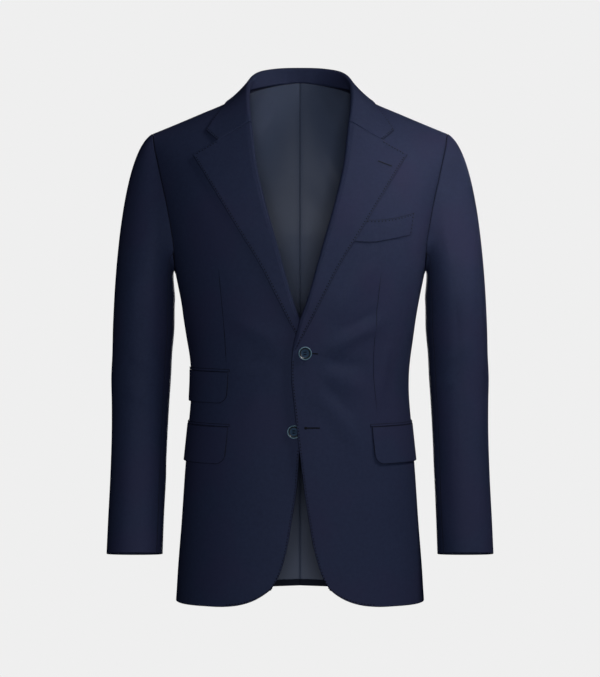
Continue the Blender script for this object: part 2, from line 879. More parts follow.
@dataclass(frozen=True)
class WorstedTwill(Woven):
    """Worsted wool suiting, a twill of fine combed yarn, dyed navy and pressed.

    Combed yarn gives a clean, nearly matt face with a faint diagonal line and a soft bloom at grazing
    angles. The real twill line is 0.5 mm apart. It is drawn at 1.3 mm, and the threads at 0.8 mm, so that
    they show in the render. The dye leans to purple in places.
    """

    name: str = "navy_worsted_twill"
    edge: str = "#10131f"
    edge_width: Pair = (0.1, 1.3)
    warp: str = "#2a334d"
    weft: str = "#232a42"
    bloom: str = "#3c4880"
    purple: str = "#2b2c47"
    twill_pitch: float = 1.3
    thread_pitch: float = 0.8
    twill_angle: float = 63.0
    slub: float = 5.0
    drift: float = 110.0
    relief: float = 0.06

    def surface(self, tree: Tree) -> dict[str, Any]:
        """Draws the twill, its slubs and the drift of its dye.

        Args:
            tree: The tree.

        Returns:
            The shader's inputs.
        """
        weave = add(tree, "UVMap", {"uv_map": "weave"})
        angle = (0.0, 0.0, math.radians(self.twill_angle))
        turned = add(tree, "Mapping", {"Vector": weave, "Rotation": angle})
        coarse, fine = (WAVE_PERIOD / (pitch * MM) for pitch in (self.twill_pitch, self.thread_pitch))
        bands = {"wave_type": "BANDS", "Distortion": 0.0}
        twill, ends, picks = (
            add(tree, "TexWave", bands | {"bands_direction": way, "Vector": at, "Scale": scale}, 1)
            for at, way, scale in ((turned, "X", coarse), (weave, "X", fine), (weave, "Y", fine))
        )
        threads = add(tree, "Math", {"operation": "MAXIMUM", 0: ends, 1: picks})
        woven = add(tree, "Math", {"operation": "MULTIPLY_ADD", 0: twill, 1: 0.6, 2: threads})
        place = add(tree, "TexCoord", {}, "Object")
        slub = {"Vector": place, "Scale": 1 / (self.slub * MM), "Detail": 3.0, "Roughness": 0.65}
        slubs = add(tree, "TexNoise", slub)
        drifts = add(tree, "TexNoise", {"Vector": place, "Scale": 1 / (self.drift * MM), "Detail": 2.0})
        mixed = add(tree, "Math", {"operation": "MULTIPLY_ADD", 0: twill, 1: 0.35, 2: slubs})
        shade = add(tree, "Math", {"operation": "MULTIPLY_ADD", 0: drifts, 1: 0.5, 2: mixed})
        share = add(tree, "MapRange", {"Value": shade, "From Min": 0.45, "From Max": 1.25})
        colours = {"data_type": "RGBA", 0: share, 6: linear(self.weft), 7: linear(self.warp)}
        colour = add(tree, "Mix", colours, 2)
        reach = {"From Min": 0.42, "From Max": 0.62, "To Max": 0.5, "interpolation_type": "SMOOTHSTEP"}
        patchy = add(tree, "MapRange", reach | {"Value": drifts})
        colour = add(tree, "Mix", {"data_type": "RGBA", 0: patchy, 6: colour, 7: linear(self.purple)}, 2)
        bump = {"Strength": 0.5, "Distance": self.relief * MM, "Height": woven}
        return {
            "Base Color": self.pressed(tree, colour),
            "Normal": add(tree, "Bump", bump),
            "Roughness": 0.72,
            "IOR": 1.45,
            "Specular IOR Level": 0.14,
            "Sheen Weight": 0.05,
            "Sheen Roughness": 0.45,
            "Sheen Tint": linear(self.bloom),
        }


@dataclass(frozen=True)
class CuproLining(Woven):
    """Cupro lining, a smooth satin of fine filament yarn, dyed slate.

    The long floats give a soft silky shine along one direction and a faint warp line. Filaments are
    0.1 mm apart, too fine to show, so the warp line is drawn at 0.7 mm.
    """

    name: str = "slate_cupro_satin"
    edge: str = "#262d3a"
    edge_width: Pair = (0.0, 0.9)
    face: str = "#475166"
    shade: str = "#3d4659"
    filament_pitch: float = 0.7
    ripple: float = 60.0
    relief: float = 0.03

    def surface(self, tree: Tree) -> dict[str, Any]:
        """Draws the warp line and the clouding of the satin.

        Args:
            tree: The tree.

        Returns:
            The shader's inputs.
        """
        weave = add(tree, "UVMap", {"uv_map": "weave"})
        lines = {"wave_type": "BANDS", "bands_direction": "X", "Distortion": 1.5, "Detail": 1.0}
        scale = WAVE_PERIOD / (self.filament_pitch * MM)
        warp = add(tree, "TexWave", lines | {"Vector": weave, "Scale": scale}, 1)
        place = add(tree, "TexCoord", {}, "Object")
        ripples = add(tree, "TexNoise", {"Vector": place, "Scale": 1 / (self.ripple * MM), "Detail": 2.0})
        share = add(tree, "Math", {"operation": "MULTIPLY_ADD", 0: warp, 1: 0.2, 2: ripples})
        colours = {"data_type": "RGBA", 0: share, 6: linear(self.shade), 7: linear(self.face)}
        bump = {"Strength": 0.5, "Distance": self.relief * MM, "Height": warp}
        return {
            "Base Color": self.pressed(tree, add(tree, "Mix", colours, 2)),
            "Normal": add(tree, "Bump", bump),
            "Roughness": 0.5,
            "IOR": 1.5,
            "Specular IOR Level": 0.25,
            "Anisotropic": 0.4,
            "Sheen Weight": 0.04,
        }


@dataclass(frozen=True)
class PolishedResin(Finish):
    """Cast polyester resin, turned and tumbled to a polish, clouded like dyed horn.

    The cloudy streaks are some 3 mm long. The rim is polished and pale teal, and the well is matt and
    darker, with a dark ring on its slope. Both reaches are shares of the button's radius.
    """

    name: str = "teal_grey_resin"
    rim: str = "#587c8c"
    dish: str = "#2c4258"
    ring: str = "#080d13"
    streak: float = 3.0
    rim_reach: Pair = (0.81, 0.87)
    ring_reach: Pair = (0.56, 0.7)
    polish: Pair = (0.75, 0.38)
    shine: Pair = (0.12, 0.6)

    def surface(self, tree: Tree) -> dict[str, Any]:
        """Clouds the resin and shades it from the well to the rim.

        Args:
            tree: The tree.

        Returns:
            The shader's inputs.
        """
        radius = add(tree, "SeparateXYZ", {0: add(tree, "UVMap", {"uv_map": "turning"})})
        cloud = {"Scale": 1 / (self.streak * MM), "Detail": 3.0, "Distortion": 1.2}
        clouds = add(tree, "TexNoise", cloud | {"Vector": add(tree, "TexCoord", {}, "Object")})
        outer, shaded = (
            add(tree, "MapRange", {"Value": radius, "From Min": low, "From Max": high})
            for low, high in (self.rim_reach, self.ring_reach)
        )
        colours = {"data_type": "RGBA", 0: shaded, 6: linear(self.dish), 7: linear(self.ring)}
        within = add(tree, "Mix", colours, 2)
        cloudy = add(tree, "Math", {"operation": "MULTIPLY_ADD", 0: clouds, 1: 0.3, 2: -0.15})
        share = add(tree, "Math", {"operation": "ADD", "use_clamp": True, 0: outer, 1: cloudy})
        polish, shine = (
            add(tree, "MapRange", {"Value": shaded, "To Min": low, "To Max": high})
            for low, high in (self.polish, self.shine)
        )
        colour = add(tree, "Mix", {"data_type": "RGBA", 0: share, 6: within, 7: linear(self.rim)}, 2)
        return {"Base Color": colour, "Roughness": polish, "Specular IOR Level": shine, "IOR": 1.55}


@dataclass(frozen=True)
class SilkTwist(Finish):
    """Silk buttonhole twist, a corded thread dyed darker than the cloth, with a soft shine.

    The cord's plies are 0.3 mm apart, too fine to show, and give only a slight unevenness.
    """

    name: str = "dark_navy_twist"
    high: str = "#0d101c"
    low: str = "#07090f"
    ply: float = 0.3

    def surface(self, tree: Tree) -> dict[str, Any]:
        """Draws the unevenness of the plies.

        Args:
            tree: The tree.

        Returns:
            The shader's inputs.
        """
        place = add(tree, "TexCoord", {}, "Object")
        plies = add(tree, "TexNoise", {"Vector": place, "Scale": 1 / (self.ply * MM), "Detail": 1.0})
        colours = {"data_type": "RGBA", 0: plies, 6: linear(self.low), 7: linear(self.high)}
        colour = add(tree, "Mix", colours, 2)
        return {"Base Color": colour, "Roughness": 0.55, "IOR": 1.5, "Specular IOR Level": 0.1}


@dataclass(frozen=True)
class SweepPaper(Finish):
    """Seamless background paper, matt and pale grey. It is lit evenly on its own, so it glows a little."""

    name: str = "pale_paper"
    colour: str = "#efefef"

    def surface(self, tree: Tree) -> dict[str, Any]:
        """The even glow of the lit paper."""
        matt = {"Base Color": (0.0, 0.0, 0.0, 1.0), "Roughness": 1.0, "Specular IOR Level": 0.0}
        return matt | {"Emission Color": linear(self.colour), "Emission Strength": 1.0}


@dataclass
class Finishes:
    """The materials of the jacket, each made once."""

    wool: Material = field(default_factory=WorstedTwill().build)
    wrong_side: Material = field(
        default_factory=WorstedTwill("navy_worsted_wrong_side", warp="#151a2a", weft="#10141f").build
    )
    lining: Material = field(default_factory=CuproLining().build)
    resin: Material = field(default_factory=PolishedResin().build)
    twist: Material = field(default_factory=SilkTwist().build)
    paper: Material = field(default_factory=SweepPaper().build)


@dataclass
class Assembly:
    """A sub-assembly of the jacket, built on the pattern's seams and dressed in its finishes."""

    pattern: Pattern
    finishes: Finishes
    cloth: float = 2.0

    @property
    def form(self) -> TorsoForm:
        """The torso form that everything lies on."""
        return self.pattern.form

    def settle(self, obj: Object, finish: Material, slot: Slot, *nodes: str) -> Object:
        """Dresses a piece and gives it its body, its slot and the nodes that it stands for.

        Args:
            obj: The piece.
            finish: Its material.
            slot: The record's slot that it takes its finish from.
            nodes: The nodes of the frame that it replaces.

        Returns:
            The piece.
        """
        obj.data.materials.append(finish)
        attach(obj, "root")
        if nodes:
            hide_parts(*nodes)
        LOG.info("%s: %d triangles", obj.name, sum(len(face.vertices) - 2 for face in obj.data.polygons))
        return obj

    def sew(
        self, cloth: Cloth, node: str, rests_on: Sequence[str], held: Held = Held.HUNG,
        slot: Slot = Slot.WOOL, lined: Material | None = None, beside: Sequence[Object] = (),
    ) -> None:
        """Args:
            cloth: The cloth.
            node: The node.
            rests_on: What it hangs from or lies on.
            held: How it is held.
            slot: The record's slot.
            lined: The material of its inside beyond the facing.
            beside: Narrow strips that are sewn to it.
        """
        finish = self.finishes.lining if slot is Slot.LINING else self.finishes.wool
        piece = self.settle(cloth.build(f"{node}_cloth"), finish, slot, node)
        if lined:
            piece.data.materials.append(lined)
        self.declare(piece, cloth, rests_on, held, beside)

    def declare(
        self, piece: Object, cloth: Cloth, rests_on: Sequence[str], held: Held,
        beside: Sequence[Object] = (),
    ) -> None:
        """Declares a piece as a sheet that is held so by others, with the strips that are sewn to it."""
        flat, area = cloth.flat_cut()


@dataclass
class Body(Assembly):
    """The outer cloth of the body: two fronts, two side panels and two backs."""

    facing_width: float = 75.0
    panels: dict[str, Cloth] = field(default_factory=dict)

    def panel(
        self, node: str, places: Points, side: Side, rests_on: Sequence[str], lift: float = 0.0,
        lined: Material | None = None, **kind: Any,
    ) -> None:
        """Builds a panel of the shell.

        Args:
            node: The node that it stands for.
            places: Its places on the left half.
            side: The half that it belongs to.
            rests_on: What it hangs from.
            lift: How far it is lifted at the overlap.
            lined: The material of its inside beyond the facing.
            kind: What else its cloth has.
        """
        form = self.form
        middle = form.creased(side.turned(form.laid(places, -self.cloth / 2, lift)))
        cloth = Cloth(middle, side.turned(form.outward(places, lift)), self.cloth, **kind)
        self.panels[node] = cloth
        self.sew(cloth, node, rests_on, lined=lined)

    def build(self) -> None:
        """Builds the panels of both halves."""
        pattern, edges = self.pattern, (Border.FIRST_ROW, Border.FIRST_COLUMN)
        facing, wrong_side = (Border.FIRST_COLUMN, self.facing_width), self.finishes.wrong_side
        for side in Side:
            front, flank, back = (f"{word}_{side.label}" for word in ("front", "side", "back"))
            lift, lining = pattern.form.lift(side), self.finishes.lining
            places = pattern.front(side)
            self.panel(front, places, side, (back, flank), lift, lining, channels=edges, facing=facing)
            self.panel(flank, pattern.side(), side, (front, back))
            inside = (Border.FIRST_ROW, 0.0)
            self.panel(back, pattern.back(), side, (front, "collar"), lined=wrong_side, facing=inside)


@dataclass
class Leaf(Assembly):
    """Leaves of cloth that are folded over at the roll line: the lapels and the collar.

    Attributes:
        near_break: How high the leaf lies above the front at the break point, and on_chest above it.
        facing_return: How far the facing goes back inside at the break point and above it.
        notch_share: Where the notch is on the line from the roll to the lapel's tip.
        collar_front: Distance and height of the collar's free edge in front, and collar_back behind.
    """

    thickness: float = 1.8
    leaf_gap: float = 0.5
    near_break: float = 0.4
    break_dip: float = 2.2
    break_dip_reach: float = 15.0
    on_chest: float = 2.4
    break_reach: float = 90.0
    facing_return: Pair = (3.0, 12.0)
    edge: Table = (
        (-5, -402.5), (5.7, -383.3), (33.4, -330), (56.3, -285), (91.8, -227), (123.2, -175), (159, -116),
    )
    notch_share: float = 0.573
    gorge_gap: Pair = (0.35, 0.8)
    collar_front: Table = ((139.5, -79), (127.4, -60.2), (116.3, -44.8), (108.8, -34))
    collar_back: Table = ((100.5, -31.5), (84, -31), (62, -26), (32, -20.5), (0, -18.5))
    collar_on_chest: float = 0.6
    tip_share: float = 0.3
    collar_sag: float = 2.0
    stand_tuck: float = -1.5
    stand_clear: float = 2.5
    lapel_rows: int = 120
    tip_rows: int = 26
    collar_rows_each: int = 84
    turn_steps: int = 15
    leg_steps: int = 34
    return_steps: int = 5
    neck_axis: Triple = (0.0, -60.0, 0.0)
    leaves: dict[str, Cloth] = field(default_factory=dict)

    @property
    def under(self) -> float:
        """How far the middle of a leaf that is tucked in lies below the front's outer face."""
        return self.cloth + self.leaf_gap + self.thickness / 2

    def middle(
        self, inside: Points, roll: Points, edge: Points, radius: Any, rest: Points, lift: float = 0.0,
        sag: Any = 0.0,
    ) -> Points:
        """Finds the middle of a folded leaf, from its inner end, over the roll, to its free edge.

        Args:
            inside: The inner end of each row.
            roll: The roll point of each row.
            edge: The free end of each row.
            radius: The radius of the turn.
            rest: The height at which the free edge lies.
            lift: How far the overlap is lifted.
            sag: How far the middle of the leaf hangs below a straight line.

        Returns:
            The grid of points.
        """
        way = unit(np.gradient(roll, axis=0))
        into = unit(unit(edge - roll) + unit(inside - roll))
        into = unit(into - way * np.sum(into * way, axis=1, keepdims=True))
        over = np.cross(way, into)
        over *= np.sign(np.sum(over * (edge - inside), axis=1, keepdims=True))
        radius, rest = (np.broadcast_to(size, len(roll))[:, None] for size in (radius, rest))
        centre = roll + into * (radius + self.thickness / 2)
        turns = np.linspace(-QUARTER, QUARTER, self.turn_steps)
        arc = [centre + radius * (over * math.sin(t) - into * math.cos(t)) for t in turns]
        back = [inside + (arc[0] - inside) * f for f in spaced(self.return_steps)[:-1]]
        f = spaced(self.leg_steps + 1)[1:]
        leg = arc[-1][:, None] + (edge - arc[-1])[:, None] * f[:, None]
        leg[..., 2] -= np.reshape(sag, (-1, 1)) * 4 * f * (1 - f)
        leg = self.form.rested(leg, rest + (radius - rest) * (1 - f) ** 3, lift)
        return np.concatenate([np.stack(back + arc, axis=1), leg], axis=1)

    def under_front(self, points: Points, lift: float = 0.0) -> Points:
        """Points seen at the same x and z as the given ones, on the leaf's middle below the front."""
        return self.form.on_front(points[:, 0], points[:, 2], -self.under, lift)

    def lapel(self, side: Side) -> Points:
        """Finds the middle of a lapel.

        Args:
            side: Which lapel.

        Returns:
            The grid of points on the left half, from the break point to the gorge.
        """
        form, lift = self.form, self.form.lift(side)
        roll, edge = (even(line, self.lapel_rows) for line in (self.pattern.roll_chest, self.edge))
        start = roll[0, 1]
        above = ease(roll[:, 1], start, start + self.break_reach)
        rest = self.near_break + (self.on_chest - self.near_break) * above + self.thickness / 2
        rest = rest - self.break_dip * (1 - ease(roll[:, 1], start, start + self.break_dip_reach))
        reach = self.facing_return[0] + (self.facing_return[1] - self.facing_return[0]) * above
        roll = form.on_front(*roll.T, (rest - self.under) / 2, lift)
        inside = self.under_front(roll + reach[:, None] * [1.0, 0.0, 0.0], lift)
        edge = form.on_front(*edge.T, rest, lift)
        return self.middle(inside, roll, edge, (self.under + rest) / 2, rest, lift)

    def neck_seam(self, count: int) -> tuple[Points, Points]:
        """Finds the neck edge of the panels as points.

        Args:
            count: How many points to give, from the gorge to the nape.

        Returns:
            The points, and the vectors that point out of the shell there.
        """
        form = self.form
        lines = self.pattern.neck_line()[::-1]
        places = np.vstack([even(line[::-1], 60) for line in lines])
        both = np.hstack([form.ring(places), form.outward(places)])
        keys = lengths_along(both[:, :3])
        both = read(np.linspace(0, keys[-1], count), keys, both)
        return self.round_nape(both[::6, :3], count), unit(both[:, 3:])

    def round_nape(self, half: Points, count: int) -> Points:
        """So many points of the left half of a line that goes on round the nape without a corner."""
        return even(whole(half), 2 * count - 1)[:count]

    def collar(self) -> Points:
        """Finds the middle of the whole collar.

        Returns:
            The grid of points, from the left gorge round the neck to the right one.
        """
        form = self.form
        rows = self.tip_rows + self.collar_rows_each - 1
        share = ease(spaced(rows), 0.0, self.tip_share)
        rest = self.on_chest + (self.collar_on_chest - self.on_chest) * share + self.thickness / 2
        radius = (self.under + rest[0]) / 2
        gorge_end = np.array(self.pattern.roll_chest[-1]) + self.gorge_gap
        gorge = form.on_front(*gorge_end, rest[0] - radius)
        roll = self.round_nape(np.vstack([gorge, self.pattern.roll_neck]), rows)
        notch = gorge_end + (np.array(self.edge[-1]) - self.pattern.roll_chest[-1]) * self.notch_share
        tip = np.linspace(notch, self.collar_front[0], self.tip_rows)
        tip = form.on_front(*tip.T, rest[: self.tip_rows])
        over_front = form.laid(form.place(*np.transpose(self.collar_front)), rest[self.tip_rows - 1])
        over_back = form.laid(form.place(*np.transpose(self.collar_back), back=True), rest[-1])
        rim = self.round_nape(np.vstack([over_front, over_back]), self.collar_rows_each)
        seam, facing = self.neck_seam(rows)
        radial = unit((seam - [0.0, seam[:, 1].mean(), 0.0]) * [1.0, 1.0, 0.0])
        towards = np.maximum(0, np.sum(radial * facing, axis=1, keepdims=True))
        stand = seam - radial * (self.stand_clear + self.cloth * towards) - [0.0, 0.0, self.stand_tuck]
        tucked = self.under_front(roll + [self.facing_return[1], 0.0, 0.0])
        inside = tucked * (1 - share[:, None]) + stand * share[:, None]
        lines = (whole(line) for line in (inside, roll, np.vstack([tip[:-1], rim])))
        rest, sag = (np.concatenate([span, span[-2::-1]]) for span in (rest, self.collar_sag * share))
        return self.middle(*lines, radius, rest, sag=sag)

    def fold(self, node: str, middle: Points, hangs_from: str) -> None:
        """Builds a leaf.

        Args:
            node: The node that it stands for.
            middle: The grid of points midway through it.
            hangs_from: What it is sewn to.
        """
        middle = self.form.creased(middle)
        outward = np.zeros_like(middle)
        outward[:, -1] = (middle[:, -1] - self.neck_axis) * [1.0, 1.0, 0.0]
        free = (Border.LAST_COLUMN,)
        self.leaves[node] = Cloth(middle, outward, self.thickness, channels=free, pressed=free)
        self.sew(self.leaves[node], node, [hangs_from], Held.FOLDED)

    def build(self) -> None:
        """Builds the lapels and the collar."""
        for side in Side:
            self.fold(f"lapel_{side.label}", side.turned(self.lapel(side)), f"front_{side.label}")
        self.fold("collar", self.collar(), "back_left")


@dataclass
class Sleeves(Assembly):
    """The two sleeves, each with a top sleeve, an under sleeve and a stay tape along its armhole seam.

    Angles go round the sleeve from 0 at the outer side to a quarter turn at the front. Three values are
    those on top of the sleeve, at its front and back, and under it.

    Attributes:
        rings: Height, centre x, centre y, half width and half depth of each ring below the cap.
        slope: How the cap leaves the armhole, and lead how strongly, and arrival how it meets the arm.
        girth: The length of a radian in the terms of the creases.
        crease_clear: How far from the armhole the creases start and reach their full height.
        middle_point: A point inside the body, which the tape faces.
    """

    creases: dict[Side, Table] = field(default_factory=dict)
    rings: Table = (
        (-715, 246.6, -107, 41.8, 47.5), (-663, 245, -97, 41.6, 49), (-591, 242.3, -84, 41.4, 52),
        (-519, 240.2, -73, 42.1, 56), (-483, 239.4, -69.5, 43.2, 58.5), (-447, 238.6, -67, 44.8, 61),
        (-411, 237, -66, 44.9, 63.5), (-375, 235, -66, 46.1, 66), (-339, 233.9, -66.5, 45.6, 68),
        (-303, 231.8, -67, 45.7, 69), (-250, 229.5, -68, 45, 69),
    )
    biceps: float = -330.0
    cuff: float = -709.0
    cuff_rise: float = 5.0
    cuff_facing: float = 32.0
    roundness: float = 2.15
    slope: Triple = (0.55, 0.1, -0.6)
    lead: Triple = (150.0, 60.0, 20.0)
    arrival: Triple = (150.0, 95.0, 32.0)
    hole_gap: float = 0.25
    tape_width: float = 12.0
    tape_depth: float = 2.8
    tape_thickness: float = 0.6
    tape_columns: int = 150
    middle_point: Triple = (0.0, -70.0, -180.0)
    front_seam: float = 0.40
    back_seam: float = 0.74
    girth: float = 52.0
    crease_clear: Pair = (2.0, 45.0)
    hole_samples: tuple[int, int, int] = (80, 30, 50)
    cap_rows: int = 56
    cap_spread: float = 1.3
    arm_rows: int = 100
    top_columns: int = 72
    under_columns: int = 40

    def by_angle(self, angle: Points, values: Triple) -> Points:
        """A value for each angle, between the three on top, at the front and back, and under."""
        height = np.cos(angle)
        return np.where(height > 0, values[0], values[2]) * height**2 + values[1] * (1 - height**2)

    def ring(self, angle: Points, level: float) -> Points:
        """Finds points round the sleeve below the cap.

        Args:
            angle: The angles round it.
            level: The height.

        Returns:
            The points.
        """
        centre_x, centre_y, half_width, half_depth = smooth(self.rings, level)
        circle = (np.cos(angle), np.sin(angle))
        across, ahead = (np.sign(f) * np.abs(f) ** (2 / self.roundness) for f in circle)
        rise = self.cuff_rise * ahead * ease(-level, -self.biceps, -self.cuff)
        return np.stack([centre_x + half_width * across, centre_y - half_depth * ahead, level + rise], -1)

    def armhole_seam(self, angle: Points) -> tuple[Points, Points]:
        """Finds where the sleeve leaves the body.

        Args:
            angle: The angles round the sleeve.

        Returns:
            Points of the armhole, and the way that the shell goes on there.
        """
        form = self.form
        parts = [form.sample(*part) for part in zip(self.pattern.armhole_parts(), self.hole_samples)]
        hole = np.vstack([parts[0], parts[1][1:], parts[2][1:]])
        points = form.ring(hole)
        lengths = along(points)[:, 0]
        lowest = lengths[np.argmin(points[:, 2])]
        at = np.interp(np.mod(angle, math.tau) / math.tau, [0.0, 0.5, 1.0], [0.0, lowest, 1.0])
        onward = np.cross(form.outward(hole), unit(np.gradient(points, axis=0)))
        both = read(at, lengths, np.hstack([points, onward]))
        return both[:, :3], unit(both[:, 3:])

    def outer(self, angle: Points) -> Points:
        """Finds the outer face of a piece of the sleeve.

        Args:
            angle: The angle of each of its columns.

        Returns:
            The grid of points on the left half, from the armhole to the cuff.
        """
        seam, onward = self.armhole_seam(angle)
        biceps, below = self.ring(angle, self.biceps), self.ring(angle, self.biceps - 1.0)
        leave = unit(np.stack([0 * angle + 1, 0 * angle, -self.by_angle(angle, self.slope)], axis=1))
        leave = leave * self.by_angle(angle, self.lead)[:, None]
        arrive = unit(below - biceps) * self.by_angle(angle, self.arrival)[:, None]
        f = spaced(self.cap_rows, self.cap_spread)[:-1, None, None]
        cap = hermite(seam + onward * self.hole_gap, biceps, leave, arrive, f)
        levels = np.linspace(self.biceps, self.cuff, self.arm_rows)
        return np.concatenate([cap, [self.ring(angle, level) for level in levels]])

    def build(self) -> None:
        """Builds the top sleeves, the under sleeves and the tapes."""
        front, back = self.front_seam * math.tau, self.back_seam * math.tau
        pieces = (
            ("top", back - math.tau, front, self.top_columns), ("under", front, back, self.under_columns),
        )
        facing = (Border.LAST_ROW, self.cuff_facing)
        for word, first, last, columns in pieces:
            angle = np.linspace(first, last, columns)
            outer = self.outer(angle)
            normal = grid_normals(outer)
            around = angle * self.girth + 0 * outer[..., 2]
            clear = ease(lengths_along(outer), *self.crease_clear)
            for side in Side:
                turns = (0.0, math.tau * self.girth, -math.tau * self.girth)
                amount = clear * relief(self.creases[side], around, outer[..., 2], turns)
                middle = side.turned(outer + normal * (amount - self.cloth / 2)[..., None])
                cloth = Cloth(middle, side.turned(normal), self.cloth, facing=facing)
                node, hung = f"sleeve_{word}_{side.label}", [f"front_{side.label}"]
                self.sew(cloth, node, hung, lined=self.finishes.lining)
        self.tape()

    def tape(self) -> None:
        """Builds the stay tape that lies inside each armhole and closes the seam."""
        angle = np.linspace(0, math.tau, self.tape_columns)
        seam, onward = self.armhole_seam(angle)
        cap = np.swapaxes(self.outer(angle), 0, 1)
        sleeve = np.vstack([read(self.tape_width / 2, lengths_along(line), line) for line in cap])
        inward = unit(np.cross(np.gradient(seam, axis=0), onward))
        inward *= np.sign(np.sum(inward * (self.middle_point - seam), axis=1, keepdims=True))
        across = [seam - onward * self.tape_width / 2, seam - onward * 0.5, seam + onward * 0.5, sleeve]
        middle = np.stack([line + inward * self.tape_depth for line in across])
        for side in Side:
            outward = side.turned(middle * 0 - inward)
            cloth = Cloth(side.turned(middle), outward, self.tape_thickness, roll=0.3)
            piece = cloth.build(f"armhole_tape_{side.label}")
            self.settle(piece, self.finishes.twist, Slot.WOOL)
            self.declare(piece, cloth, [f"front_{side.label}"], Held.FOLDED)


@dataclass
class Lining(Assembly):
    """The lining of the backs and the side panels.

    Attributes:
        rise: How far its hem, and its upper edge, lie above the wool's.
        groove: The depth and width of the groove along the centre-back seam.
        ripples: Its own slack, in the same terms as the body's creases.
    """

    thickness: float = 1.0
    gap: float = 2.7
    rise: Pair = (10.0, 1.0)
    groove: Pair = (0.7, 1.4)
    ripples: Table = (
        (440, -84, 478, -112, 1, 16, 0.6), (455, -176, 488, -208, 1.6, 15, 0.6),
        (-446, -160, -482, -250, 1.8, 15, 0.6), (-460, -230, -430, -420, 2.2, 28, 0.6),
        (480, -420, 430, -640, 3, 24, 0.6), (-485, -480, -440, -700, 3, 24, 0.6),
    )

    def build(self) -> None:
        """Builds the lining of both halves."""
        form, rows = self.form, self.pattern.seam_rows
        for piece, places in (("back", self.pattern.back()), ("side", self.pattern.side())):
            row = np.arange(len(places))[:, None]
            places[..., 1] += self.rise[0] * np.clip(1 - row / (rows / 3), 0, 1)
            places[..., 1] += self.rise[1] * np.clip(1 - row[::-1] / (rows / 4), 0, 1)
            inward = -self.cloth - self.gap - self.thickness / 2
            from_seam = (2 - places[..., 0]) * form.quarter
            groove = self.groove[0] * np.exp(-((from_seam / self.groove[1]) ** 2))
            for side in Side:
                slack = relief(self.ripples, side.value * places[..., 0] * form.quarter, places[..., 1])
                laid = side.turned(form.laid(places, inward - np.maximum(slack, 0.0) + groove))
                cloth = Cloth(form.creased(laid), side.turned(form.outward(places)), self.thickness, roll=1.0)
                self.sew(cloth, f"lining_{piece}_{side.label}", [f"{piece}_{side.label}"], slot=Slot.LINING)


